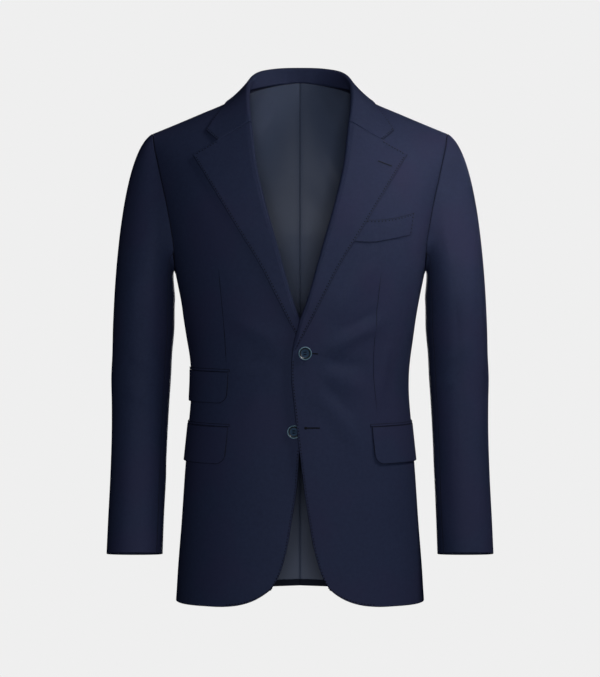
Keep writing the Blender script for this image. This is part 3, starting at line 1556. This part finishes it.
@dataclass
class Pockets(Assembly):
    """The hip pockets, the ticket pocket and the chest welt.

    Attributes:
        hip_top: The height of a hip pocket's front end, and ticket_top that of the ticket pocket.
        hip_flap: The flap's length and height.
        flap_slant: How far a flap's front end slants back at its foot, and flap_lift how far it stands off.
        welt: Distance and height of the welt's lower edge, and of its upper edge.
    """

    start: float = 104.8
    hip_top: float = -513.5
    hip_flap: Pair = (155.0, 55.0)
    ticket_top: float = -433.0
    ticket_flap: Pair = (112.0, 46.5)
    jet_height: float = 4.0
    jet_end: float = 2.2
    jet: float = 1.2
    corner: float = 15.0
    pocket_slant: float = 0.03
    flap_slant: float = 2.0
    flap_lift: float = 1.5
    on_cloth: float = 0.45
    flap: float = 1.6
    gap: float = 0.3
    welt: Table = (
        (78, -246.4, 96.5, -214.7), (103.6, -247.4, 110, -214.6), (131.9, -242.8, 137, -211.5),
        (162.9, -235.4, 167.6, -202.7),
    )
    rows: int = 26
    columns: int = 86
    jet_rows: int = 7
    furthest_turn: float = 1.9
    cloths: dict[str, Cloth] = field(default_factory=dict)

    def place(self, distance: Any, drop: Any, top: float) -> Points:
        """Finds places beside a pocket mouth.

        Args:
            distance: How far along the cloth from the pocket's front end.
            drop: How far below its top.
            top: The height of its front end.

        Returns:
            The places.
        """
        form = self.form
        distance, drop = np.broadcast_arrays(distance, drop)
        turns = np.linspace(float(form.turn_of(self.start, top)), self.furthest_turn, 300)
        lengths = lengths_along(form.ring(np.column_stack([turns, 0 * turns + top])))
        before = turns[0] + (turns[1] - turns[0]) / lengths[1] * np.minimum(distance, 0)
        turn = np.where(distance < 0, before, np.interp(distance, lengths, turns))
        return np.stack([turn, top + self.pocket_slant * distance - drop], axis=-1)

    def lay(self, places: Points, height: Any, thickness: float, side: Side, **kind: Any) -> Cloth:
        """Works out a piece of cloth that lies on a front.

        Args:
            places: Its places.
            height: The height of its underside above the front.
            thickness: How thick it is.
            side: The half that it belongs to.
            kind: What else it has.

        Returns:
            Its cloth.
        """
        form = self.form
        height = height + thickness / 2 + 0 * places[..., 0]
        middle = form.creased(side.turned(form.laid(places, height)))
        return Cloth(middle, side.turned(form.outward(places)), thickness, roll=0.9, **kind)

    def flapped(self, name: str, top: float, size: Pair, side: Side) -> None:
        """Builds a flap and the jet above it.

        Args:
            name: The nodes' names, with a * for the kind of piece.
            top: The height of the pocket's front end.
            size: The flap's length and height.
            side: The half that the pocket belongs to.
        """
        length, height = size
        distance = length * (1 - np.cos(np.linspace(0, 2, self.columns) * QUARTER)) / 2
        from_end = np.minimum(np.minimum(distance, length - distance), self.corner)
        tall = height - self.corner + np.sqrt(self.corner**2 - (self.corner - from_end) ** 2)
        down = spaced(self.rows)[:, None]
        slant = self.flap_slant * down * (1 - distance / length)
        places = self.place(distance + slant, self.jet_height + self.gap + tall * down, top)
        flap = self.lay(places, self.on_cloth + self.flap_lift * down, self.flap, side)
        distance = np.linspace(-self.jet_end, length + self.jet_end, self.columns)
        places = self.place(distance, np.linspace(0.0, self.jet_height, self.jet_rows)[:, None], top)
        jet, node = self.lay(places, self.on_cloth, self.jet, side), name.replace("*", "jet")
        strip = self.settle(jet.build(f"{node}_cloth"), self.finishes.wool, Slot.WOOL, node)
        self.sew(flap, name.replace("*", "flap"), [f"front_{side.label}"], beside=[strip])

    def build(self) -> None:
        """Builds every pocket."""
        for side in Side:
            self.flapped(f"hip_*_{side.label}", self.hip_top, self.hip_flap, side)
        self.flapped("ticket_*", self.ticket_top, self.ticket_flap, Side.RIGHT)
        welt = even(self.welt, self.columns)
        up = spaced(self.rows)[:, None]
        x, z = (welt[:, k] * (1 - up) + welt[:, k + 2] * up for k in (0, 1))
        places = self.form.place(x, z)
        cloth = self.lay(places, self.on_cloth, self.flap, Side.LEFT, channels=(Border.LAST_ROW,))
        self.cloths["chest_welt"] = cloth
        self.sew(cloth, "chest_welt", ["front_left"], Held.LAID)


@dataclass
class Strands:
    """Many small lengths of thread in one piece, as the corners and the faces so far."""

    points: list[Points] = field(default_factory=list)
    faces: list[Any] = field(default_factory=list)

    def sweep(
        self, line: Points, first: Points, second: Points, wide: Any, high: Any, around: int = 6
    ) -> None:
        """Adds a closed length with an oval section.

        Args:
            line: The points that it follows.
            first: The way across it.
            second: The way through it.
            wide: Half its width.
            high: Half its height.
            around: How many sides it has.
        """
        wide, high = (np.broadcast_to(size, len(line))[:, None, None] for size in (wide, high))
        angle = np.linspace(0, math.tau, around, endpoint=False)[None, :, None]
        first, second = (np.broadcast_to(way, line.shape)[:, None] for way in (first, second))
        rings = line[:, None] + first * wide * np.cos(angle) + second * high * np.sin(angle)
        points, faces = closed_tube(rings, [line[0], line[-1]])
        start = sum(map(len, self.points))
        self.points.append(points)
        self.faces += [[start + corner for corner in face] for face in faces]

    def stitch(self, at: Points, way: Points, out: Points, length: float, width: float, high: float) -> None:
        """Adds one stitch: a small rounded length of thread that lies in the cloth.

        Args:
            at: Its middle.
            way: The way that it runs.
            out: The way out of the cloth.
            length: Its length.
            width: Its width.
            high: How high it stands.
        """
        t = np.array([-0.92, -0.6, 0.0, 0.6, 0.92])
        swell = rounded(t, 2.0)
        line = at + way * (t * length / 2)[:, None]
        self.sweep(line, unit(np.cross(out, way)), out, width / 2 * swell, high * swell)

    def build(self, name: str) -> Object:
        """Makes the piece.

        Args:
            name: Its name.

        Returns:
            The object.
        """
        obj = new_object(name, np.vstack(self.points), self.faces)
        made = bmesh.new()
        made.from_mesh(obj.data)
        bmesh.ops.recalc_face_normals(made, faces=made.faces)
        made.to_mesh(obj.data)
        made.free()
        return obj


@dataclass
class Button(Assembly):
    """A front button with a raised rim, a dished well and four holes, sewn on with twist.

    Attributes:
        profile: Share of the radius and height, from the middle of the well round the rim to the foot.
        strand_arch: The height of a strand at the holes, its rise above that, and how flat the arch is.
        strands: How far to each side of a pair of holes its two strands lie.
        askew: A way that no strand runs.
    """

    node: str = ""
    centre: Pair = (0.0, 0.0)
    side: Side = Side.LEFT
    radius: float = 9.8
    seat: float = 0.4
    hole_radius: float = 0.95
    hole_circle: float = 1.7
    drill_length: float = 6.0
    sides: int = 96
    sharp_angle: float = 38.0
    profile: Table = (
        (0, 1.5), (0.22, 1.5), (0.42, 1.52), (0.6, 1.56), (0.66, 1.68), (0.71, 1.95), (0.76, 2.3),
        (0.81, 2.72), (0.86, 3.15), (0.895, 3.36), (0.925, 3.34), (0.955, 3.1), (0.982, 2.7), (1, 2.1),
        (0.985, 1.35), (0.93, 0.8), (0.84, 0.35), (0.7, 0.1), (0.35, 0), (0, 0),
    )
    strand_arch: Triple = (1.2, 0.95, 0.6)
    strand_radius: float = 0.3
    strands: Pair = (-0.32, 0.32)
    askew: Triple = (0.31, 0.52, 0.79)

    def axes(self) -> tuple[Points, Points, Points, Points]:
        """Finds where the button sits.

        Returns:
            Its foot, and the vectors across it, up it and out of the front.
        """
        form = self.form
        lift, place = form.lift(self.side), form.place(*self.centre)[None]
        axis = self.side.turned(form.outward(place, lift)[0])
        foot = form.creased(self.side.turned(form.laid(place, self.seat, lift)))[0]
        across = unit(np.cross([0.0, 0.0, 1.0], axis))
        return foot, across, np.cross(axis, across), axis

    def turned(self) -> Object:
        """Makes the turned blank, with a map of its radius.

        Returns:
            The object.
        """
        foot, across, up, axis = self.axes()
        angles = np.linspace(0, math.tau, self.sides, endpoint=False)[:, None]
        rim = np.cos(angles) * across + np.sin(angles) * up
        rings = [foot + rim * share * self.radius + axis * high for share, high in self.profile[1:-1]]
        ends = [foot + axis * high for _, high in (self.profile[0], self.profile[-1])]
        points, faces = closed_tube(np.array(rings), ends)
        blank = new_object(f"{self.node}_turned", points, [face[::-1] for face in faces])
        shares = np.append(np.repeat([share for share, _ in self.profile[1:-1]], self.sides), [0.0, 0.0])
        add_map(blank, "turning", np.column_stack([shares, 0 * shares]))
        return blank

    def drilled(self, blank: Object) -> Object:
        """Drills the four holes, with sharp edges.

        Args:
            blank: The turned blank.

        Returns:
            The same object with its holes.
        """
        foot, across, up, axis = self.axes()
        turn = Matrix([across, up, axis]).transposed().to_4x4()
        radius, depth = self.hole_radius * MM, self.drill_length * MM
        drill = bmesh.new()
        for x, y in ((1, 1), (1, -1), (-1, 1), (-1, -1)):
            middle = foot + (across * x + up * y) * self.hole_circle + axis
            shape = Matrix.Translation(middle * MM) @ turn
            bmesh.ops.create_cone(
                drill, cap_ends=True, segments=24, radius1=radius, radius2=radius, depth=depth, matrix=shape
            )
        mesh = bpy.data.meshes.new("drill")
        drill.to_mesh(mesh)
        drill.free()
        cut = blank.modifiers.new("holes", "BOOLEAN")
        cut.object = in_scene("drill", mesh)
        bpy.context.view_layer.update()
        ready = blank.evaluated_get(bpy.context.evaluated_depsgraph_get())
        holed = bpy.data.meshes.new_from_object(ready)
        bpy.data.objects.remove(cut.object)
        blank.modifiers.clear()
        blank.data = holed
        holed.shade_smooth()
        holed.set_sharp_from_angle(angle=math.radians(self.sharp_angle))
        return blank

    def thread(self) -> Object:
        """Makes the strands that cross the well from hole to hole.

        Returns:
            The piece.
        """
        foot, across, up, axis = self.axes()
        strands = Strands()
        t = spaced(15)[:, None]
        low, rise, power = self.strand_arch
        high = low + rise * np.sin(t * math.pi) ** power
        for y in (-1, 1):
            for beside in self.strands:
                reach = self.hole_circle * (2 * t - 1)
                line = foot + across * reach + up * (y * self.hole_circle + beside) + axis * high
                way = unit(np.gradient(line, axis=0))
                first = unit(np.cross(way, self.askew))
                strands.sweep(line, first, np.cross(way, first), self.strand_radius, self.strand_radius, 8)
        return strands.build(f"{self.node}_twist")

    def build(self) -> None:
        """Builds the button and its thread."""
        self.settle(self.drilled(self.turned()), self.finishes.resin, Slot.BUTTON, self.node)
        self.settle(self.thread(), self.finishes.twist, Slot.WOOL)


@dataclass
class Sewing(Assembly):
    """The hand and machine sewing that shows: pick stitches, buttonholes and darts.

    Attributes:
        step: How far apart the pick stitches are, and inside how far they lie inside an edge.
        stitch_size: The length, width and height of a pick stitch.
        stray: How far a pick stitch strays along its row, and how fast that changes.
        hem_reach: How far from the centre the stitches along the hem go.
        notch_front: The stitches along the notch end at this y, before the leaf turns under.
        whip: The width and height of a stitch round a buttonhole.
    """

    body: Body | None = None
    leaf: Leaf | None = None
    pockets: Pockets | None = None
    step: float = 4.6
    welt_step: float = 5.5
    inside: float = 2.9
    stitch_size: Triple = (2.2, 2.3, 0.4)
    stray: Pair = (0.25, 2.3)
    sunk: float = 0.02
    break_height: float = -412.0
    hem_reach: float = 112.0
    lapel_reach: float = 88.0
    notch_front: float = -140.0
    welt_end_inside: float = 2.0
    whip: Pair = (0.62, 0.3)
    nearby: float = 4.0
    upper_hole: Table = ((14, -409.8), (26, -410.4))
    lower_hole: Table = ((8.3, -518.6), (29.2, -518.6))
    lapel_hole: Table = ((114.9, -126.8), (135.2, -134.3))
    darts: tuple[Table, Table] = (
        ((119.6, -284), (117.5, -304), (111.4, -364), (107.8, -443), (113.6, -505)),
        ((119.6, -284), (115.2, -331), (110.8, -381), (107.9, -430)),
    )

    def finish(self, name: str, strands: Strands) -> None:
        """Makes a piece of sewing from its strands."""
        self.settle(strands.build(name), self.finishes.twist, Slot.WOOL)

    def pick(self, name: str, line: Points, step: float) -> None:
        """Sews a row of pick stitches.

        Args:
            name: What they are on.
            line: Rows of a point and the way out of the cloth.
            step: How far apart the stitches are.
        """
        lengths = lengths_along(line[:, :3])
        count = max(2, int(lengths[-1] / step))
        at = (np.arange(count) + 0.5) * lengths[-1] / count
        at = at + self.stray[0] * np.sin(np.arange(count) * self.stray[1])
        strands = Strands()
        for row, after in zip(read(at, lengths, line), read(at + 0.5, lengths, line[:, :3])):
            out = unit(row[3:])
            strands.stitch(row[:3] - out * self.sunk, unit(after - row[:3] + 1e-9), out, *self.stitch_size)
        self.finish(f"pick_stitches_{name}", strands)

    def edges(self) -> None:
        """Sews the pick stitches inside the edges of the fronts, the lapels, the collar and the welt."""
        inside, row, column = self.inside, Border.LAST_ROW, Border.LAST_COLUMN
        for side in Side:
            front = self.body.panels[f"front_{side.label}"]
            edge = front.line_inside(Border.FIRST_COLUMN, inside)
            edge = edge[edge[:, 2] < self.break_height]
            hem = front.line_inside(Border.FIRST_ROW, inside)
            hem = hem[np.abs(hem[:, 0]) < self.hem_reach]
            hem = hem[np.linalg.norm(hem[:, :3] - edge[0, :3], axis=1) > self.step]
            self.pick(f"front_{side.label}", np.vstack([hem[::-1], edge]), self.step)
            lapel = self.leaf.leaves[f"lapel_{side.label}"]
            free = lapel.line_inside(column, inside)
            free = free[free[:, 2] < free[:, 2].max() - inside]
            self.pick(f"lapel_{side.label}", free, self.step)
            upper = lapel.line_inside(row, inside)
            reach = np.abs(upper[:, 0])
            notch = self.pattern.roll_chest[-1][0] + self.lapel_reach * self.leaf.notch_share
            upper = upper[(reach > notch) & (reach < reach.max() - inside) & (upper[:, 1] < self.notch_front)]
            self.pick(f"notch_{side.label}", upper, self.step)
        free = self.leaf.leaves["collar"].line_inside(column, inside)
        self.pick("collar", free[3:-3], self.step)
        welt = self.pockets.cloths["chest_welt"]
        top, end = welt.line_inside(row, inside), welt.line_inside(column, self.welt_end_inside)
        self.pick("welt", np.vstack([top[4:-8], end[-6:3:-1]]), self.welt_step)

    def on_front(self, side: Side, line: Table, height: float, count: int) -> Points:
        """Lays a line on the finished cloth of a front.

        Args:
            side: Which front.
            line: Distances from the centre, and heights.
            height: How far above the cloth the line lies.
            count: How many points it gets.

        Returns:
            Rows of a point and the way out of the cloth.
        """
        form = self.form
        places = form.place(*even(line, count).T)
        points = form.creased(side.turned(form.laid(places, height, form.lift(side))))
        return np.column_stack([points, side.turned(form.outward(places, form.lift(side)))])

    def on_cloth(self, cloth: Cloth, line: Table, count: int) -> Points:
        """Lays a line on the part of a cloth that is seen from the front.

        Args:
            cloth: The cloth.
            line: Values of x and z.
            count: How many points it gets.

        Returns:
            Rows of a point and the way out of the cloth.
        """
        faces = cloth.rows()[2:-2, 2:-2].reshape(-1, 6)
        rows = []
        for x, z in even(line, count):
            off = np.hypot(faces[:, 0] - x, faces[:, 2] - z)
            near = np.flatnonzero(off < off.min() + self.nearby)
            best = faces[near[np.argmin(faces[near, 1] + off[near])]]
            y = best[1] - (best[3] * (x - best[0]) + best[5] * (z - best[2])) / best[4]
            rows.append([x, y, z, *best[3:]])
        return np.array(rows)

    def seam_line(self, name: str, rows: Points, width: float) -> None:
        """Lays a thin dark line of drawn-in cloth, as a sewn dart shows.

        Args:
            name: The piece's name.
            rows: Rows of a point and the way out of the cloth.
            width: How wide it is in its middle.
        """
        strands, points, out = Strands(), rows[:, :3], unit(rows[:, 3:])
        swell = np.clip(np.sin(spaced(len(points)) * math.pi) * 2.5, 0.12, 1)
        across = unit(np.cross(out, np.gradient(points, axis=0)))
        strands.sweep(points, across, out, width / 2 * swell, 0.06)
        self.finish(name, strands)

    def buttonhole(self, name: str, rows: Points, width: float, eyelet: float) -> None:
        """Works a buttonhole: a slit with close stitches along both sides.

        Args:
            name: The piece's name.
            rows: Rows of a point and the way out of the cloth.
            width: How wide the worked hole is.
            eyelet: The radius of the round end, or 0 for none.
        """
        strands, points, out = Strands(), rows[:, :3], unit(rows[:, 3:])
        across = unit(np.cross(out, np.gradient(points, axis=0)))
        run = unit(np.cross(across[0], out[0]))
        strands.sweep(points, across, out, width * 0.4, 0.2)
        if eyelet:
            reach = np.linspace(-0.8, 0.8, 9)
            disc = points[0] + across[0] * eyelet * reach[:, None]
            strands.sweep(disc, run, out[0], eyelet * rounded(reach, 2.0), 0.2)
        for point, way, up in zip(points, across, out):
            for hand in (-1, 1):
                strands.stitch(point + way * hand * width * 0.3, way, up, width * 0.42, *self.whip)
        for angle in np.linspace(0, math.tau, 14 if eyelet else 0, endpoint=False):
            spoke = across[0] * math.cos(angle) + run * math.sin(angle)
            strands.stitch(points[0] + spoke * eyelet * 0.6, spoke, out[0], eyelet * 0.9, *self.whip)
        self.finish(name, strands)

    def build(self) -> None:
        """Sews everything."""
        self.edges()
        self.buttonhole("buttonhole_upper", self.on_front(Side.LEFT, self.upper_hole, 0.1, 18), 2.1, 0.0)
        self.buttonhole("buttonhole_lower", self.on_front(Side.LEFT, self.lower_hole, 0.1, 30), 2.4, 2.3)
        lapel = self.on_cloth(self.leaf.leaves["lapel_left"], self.lapel_hole, 26)
        self.buttonhole("buttonhole_lapel", lapel, 2.7, 0.0)
        for side, dart in zip(Side, self.darts):
            self.seam_line(f"dart_{side.label}", self.on_front(side, dart, 0.03, 60), 0.8)


@dataclass(frozen=True)
class SoftLight:
    """A soft box, in metres and watts, whose beam a honeycomb grid may narrow to so many degrees."""

    name: str
    place: Triple
    aim: Triple
    size: Pair
    power: float
    colour: str
    grid: float = 180.0

    def build(self) -> None:
        """Puts the soft box into the scene."""
        lamp = bpy.data.lights.new(self.name, "AREA")
        lamp.shape = "RECTANGLE"
        lamp.size, lamp.size_y = self.size
        lamp.energy = self.power
        lamp.spread = math.radians(self.grid)
        lamp.color = linear(self.colour)[:3]
        obj = in_scene(self.name, lamp)
        obj.location = self.place
        obj.rotation_euler = (Vector(self.aim) - Vector(self.place)).to_track_quat("-Z", "Y").to_euler()


@dataclass
class Studio:
    """The camera, the soft lights and the sweep of paper. Its lengths are in metres."""

    finishes: Finishes
    eye: Triple = (0.0, -4.575, -0.388)
    lens: float = 180.0
    radius: float = 11.0
    bend: float = 4.4
    floor: float = -1.25
    sides: int = 64
    ambient: str = "#c8d2e6"
    ambient_strength: float = 0.02
    lights: tuple[SoftLight, ...] = (
        SoftLight("key", (1.86, -0.97, 1.65), (0.0, 0.0, -0.3), (0.9, 0.9), 36.0, "#fff8f6"),
        SoftLight("front_fill", (0.08, -4.3, -0.42), (0.0, 0.0, -0.45), (0.9, 0.9), 65.0, "#f6f8ff"),
        SoftLight("chest_beam", (2.29, -1.94, 0.30), (0.15, -0.14, -0.17), (0.3, 0.3), 0.085, "#fff8f6", 6.0),
        SoftLight("sleeve_beam", (0.70, -2.03, 1.65), (0.31, -0.06, -0.27), (0.4, 0.4), 0.12, "#fff8f6", 8.0),
        SoftLight("behind", (0.0, 4.4, -0.3), (0.0, 0.0, -0.45), (1.4, 1.4), 105.0, "#f6f8ff"),
    )

    def camera(self) -> None:
        """Makes the camera at the photograph's viewing angle."""
        data = bpy.data.cameras.new("camera")
        data.lens = self.lens
        data.sensor_fit = "HORIZONTAL"
        data.clip_end = 60.0
        obj = in_scene("camera", data)
        obj.location = self.eye
        obj.rotation_euler = (QUARTER, 0.0, 0.0)
        bpy.context.scene.camera = obj

    def sweep(self) -> None:
        """Makes the floor, which curves up all round into a backdrop, as one sweep of paper."""
        radius, bend = self.radius, self.bend
        turns = np.linspace(0, QUARTER, 13)
        curve = [(radius - bend + bend * math.sin(t), bend * (1 - math.cos(t))) for t in turns]
        dome = [(radius * math.cos(t), bend + radius * math.sin(t)) for t in turns[1:]]
        profile = np.array([(0.0001, 0.0), (radius * 0.3, 0.0), *curve, *dome]) / MM
        angles = np.linspace(0, math.tau, self.sides, endpoint=False)
        floor = self.floor / MM + 0 * angles
        rings = [(r * np.cos(angles), r * np.sin(angles), floor + z) for r, z in profile]
        numbers = np.arange(len(rings) * self.sides).reshape(len(rings), -1)
        faces = quads(np.hstack([numbers, numbers[:, :1]])).tolist()
        paper = new_object("paper_sweep", np.hstack(rings).T, faces)
        paper.data.materials.append(self.finishes.paper)
        paper.visible_diffuse = False
        paper.visible_glossy = False
        paper.visible_shadow = False

    def build(self) -> None:
        """Sets up the studio."""
        self.camera()
        self.sweep()
        for light in self.lights:
            light.build()
        world = bpy.data.worlds.new("studio_air")
        world.use_nodes = True
        air = world.node_tree.nodes["Background"]
        air.inputs["Color"].default_value = linear(self.ambient)
        air.inputs["Strength"].default_value = self.ambient_strength
        bpy.context.scene.world = world
        bpy.context.scene.view_settings.view_transform = "Standard"


# Each row is where a crease starts, across and up, and where it ends, then its depth, width and fade.
BODY_CREASES = (
    (45, -354, 112, -262, 3.1, 15, 0.6), (55, -378, 122, -342, -2.7, 9, 0.6),
    (34, -406, 142, -352, 4, 12, 0.5), (40, -424, 108, -428, -3, 9, 0.5),
    (34, -436, 112, -472, 3.7, 12, 0.5), (38, -462, 88, -508, -2.6, 8, 0.6),
    (26, -464, 92, -560, 3, 13, 0.6), (146, -400, 116, -500, 2.4, 13, 0.6),
    (-28, -396, -112, -352, 1.9, 13, 0.5), (-30, -420, -96, -424, -1.7, 9, 0.5),
    (-26, -440, -92, -500, 2, 13, 0.5), (205, -330, 245, -440, 1.6, 13, 0.5),
    (-215, -340, -250, -430, 1.8, 14, 0.5), (330, -395, 470, -430, 2.2, 13, 0.6),
    (345, -440, 485, -462, 1.8, 12, 0.6), (-320, -405, -455, -446, 2.4, 14, 0.6),
    (-350, -455, -480, -480, 1.6, 11, 0.6), (350, -215, 385, -330, 1.8, 15, 0.5),
    (-345, -205, -390, -325, 1.7, 14, 0.5), (420, -540, 405, -760, 1.8, 26, 0.9),
    (-440, -520, -412, -760, 2, 28, 0.9), (300, -560, 312, -740, 1.5, 22, 0.9),
    (-290, -580, -318, -745, 1.6, 20, 0.9),
)
SLEEVE_CREASES = {
    Side.LEFT: (
        (60, -400, 128, -432, 1.6, 9, 0.5), (80, -452, 150, -462, 1.4, 9, 0.5),
        (190, -380, 250, -470, 1.5, 12, 0.5), (-20, -190, -40, -330, 0.9, 14, 0.5),
        (150, -560, 120, -690, 1.2, 14, 0.7),
    ),
    Side.RIGHT: (
        (70, -415, 140, -440, 1.7, 10, 0.5), (66, -470, 132, -488, 1.3, 9, 0.5),
        (200, -400, 245, -480, 1.4, 12, 0.5), (-26, -210, -30, -345, 1, 15, 0.5),
        (160, -580, 135, -695, 1.1, 13, 0.7),
    ),
}


def main() -> None:
    """Builds the jacket and its studio."""
    logging.basicConfig(level=logging.INFO, format="%(name)s: %(message)s", stream=sys.stdout)
    finishes = Finishes()
    pattern = Pattern(TorsoForm(BODY_CREASES))
    body, leaf, pockets = (kind(pattern, finishes) for kind in (Body, Leaf, Pockets))
    body.build()
    leaf.build()
    Sleeves(pattern, finishes, creases=SLEEVE_CREASES).build()
    Lining(pattern, finishes).build()
    pockets.build()
    Button(pattern, finishes, node="button_upper", centre=(7.4, -409.6), side=Side.LEFT).build()
    Button(pattern, finishes, node="button_lower", centre=(8.9, -524.5), side=Side.RIGHT).build()
    Sewing(pattern, finishes, body=body, leaf=leaf, pockets=pockets).build()
    Studio(finishes).build()


if __name__ == "__main__":
    main()
